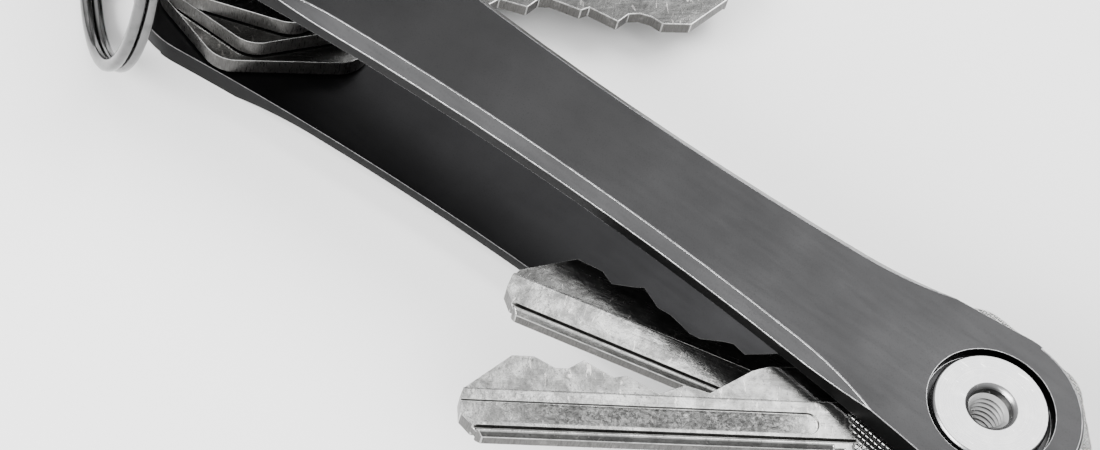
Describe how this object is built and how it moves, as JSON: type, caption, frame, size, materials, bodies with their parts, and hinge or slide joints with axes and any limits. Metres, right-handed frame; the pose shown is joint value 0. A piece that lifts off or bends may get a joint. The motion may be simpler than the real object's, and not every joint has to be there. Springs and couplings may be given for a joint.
{
  "type": "key organiser",
  "caption": "Key organiser: two waisted metal plates on threaded posts hold keys that swing out, with a loop piece and a split ring.",
  "frame": {"origin": "middle of the outer face of the rear plate, halfway between the posts; this face lies on the table", "axes": "+X along the plates towards the post with two keys, +Y towards the edge past which the far keys swing out, +Z along the posts towards the front plate"},
  "size_m": [0.1174, 0.0766, 0.0271],
  "materials": {
    "plate": "fine bead-blasted dark grey anodising",
    "post": "satin, turned face",
    "screw": "satin, turned face",
    "washer": "satin",
    "spacer": "fine matt",
    "loop_piece": "satin",
    "split_ring": "bright nickel",
    "key_1": "nickel-plated, worn and scratched",
    "key_2": "nickel-plated, worn and scratched",
    "key_3": "nickel-plated, worn and scratched",
    "key_4": "nickel-plated, worn and scratched",
    "key_5": "nickel-plated, worn and scratched"
  },
  "bodies": {
    "frame": {"front_plate": "plate", "rear_plate": "plate", "near_post": "post", "far_post": "post", "near_screw": "screw", "far_screw": "screw", "near_front_washer": "washer", "near_rear_washer": "washer", "far_front_washer": "washer", "far_rear_washer": "washer", "near_spacer_1": "spacer", "near_spacer_2": "spacer", "near_spacer_3": "spacer", "near_spacer_4": "spacer", "far_spacer_1": "spacer", "far_spacer_2": "spacer"},
    "loop_piece": {"loop_piece": "loop_piece"},
    "split_ring": {"split_ring": "split_ring"},
    "key_1": {"key_1": "key_1"},
    "key_2": {"key_2": "key_2"},
    "key_3": {"key_3": "key_3"},
    "key_4": {"key_4": "key_4"},
    "key_5": {"key_5": "key_5"}
  },
  "joints": [
    {"name": "key_1_swing", "type": "hinge", "parent": "frame", "child": "key_1", "pos_m": [0.043, 0, 0.0148], "axis": [0, 0, 1], "range_deg": [-218.5, 141.5]},
    {"name": "key_2_swing", "type": "hinge", "parent": "frame", "child": "key_2", "pos_m": [0.043, 0, 0.0104], "axis": [0, 0, 1], "range_deg": [-195, 165]},
    {"name": "key_3_swing", "type": "hinge", "parent": "frame", "child": "key_3", "pos_m": [-0.043, 0, 0.0082], "axis": [0, 0, 1], "range_deg": [-110, 45]},
    {"name": "key_4_swing", "type": "hinge", "parent": "frame", "child": "key_4", "pos_m": [-0.043, 0, 0.006], "axis": [0, 0, 1], "range_deg": [-89, 66]},
    {"name": "key_5_swing", "type": "hinge", "parent": "frame", "child": "key_5", "pos_m": [-0.043, 0, 0.0038], "axis": [0, 0, 1], "range_deg": [-76, 79]},
    {"name": "loop_swivel", "type": "hinge", "parent": "frame", "child": "loop_piece", "pos_m": [-0.043, 0, 0.0104], "axis": [0, 0, 1], "range_deg": [-45, 45]},
    {"name": "ring_swing", "type": "hinge", "parent": "loop_piece", "child": "split_ring", "pos_m": [-0.059, 0, 0.0104], "axis": [0, 0, 1], "range_deg": [-250, 0]}
  ]
}
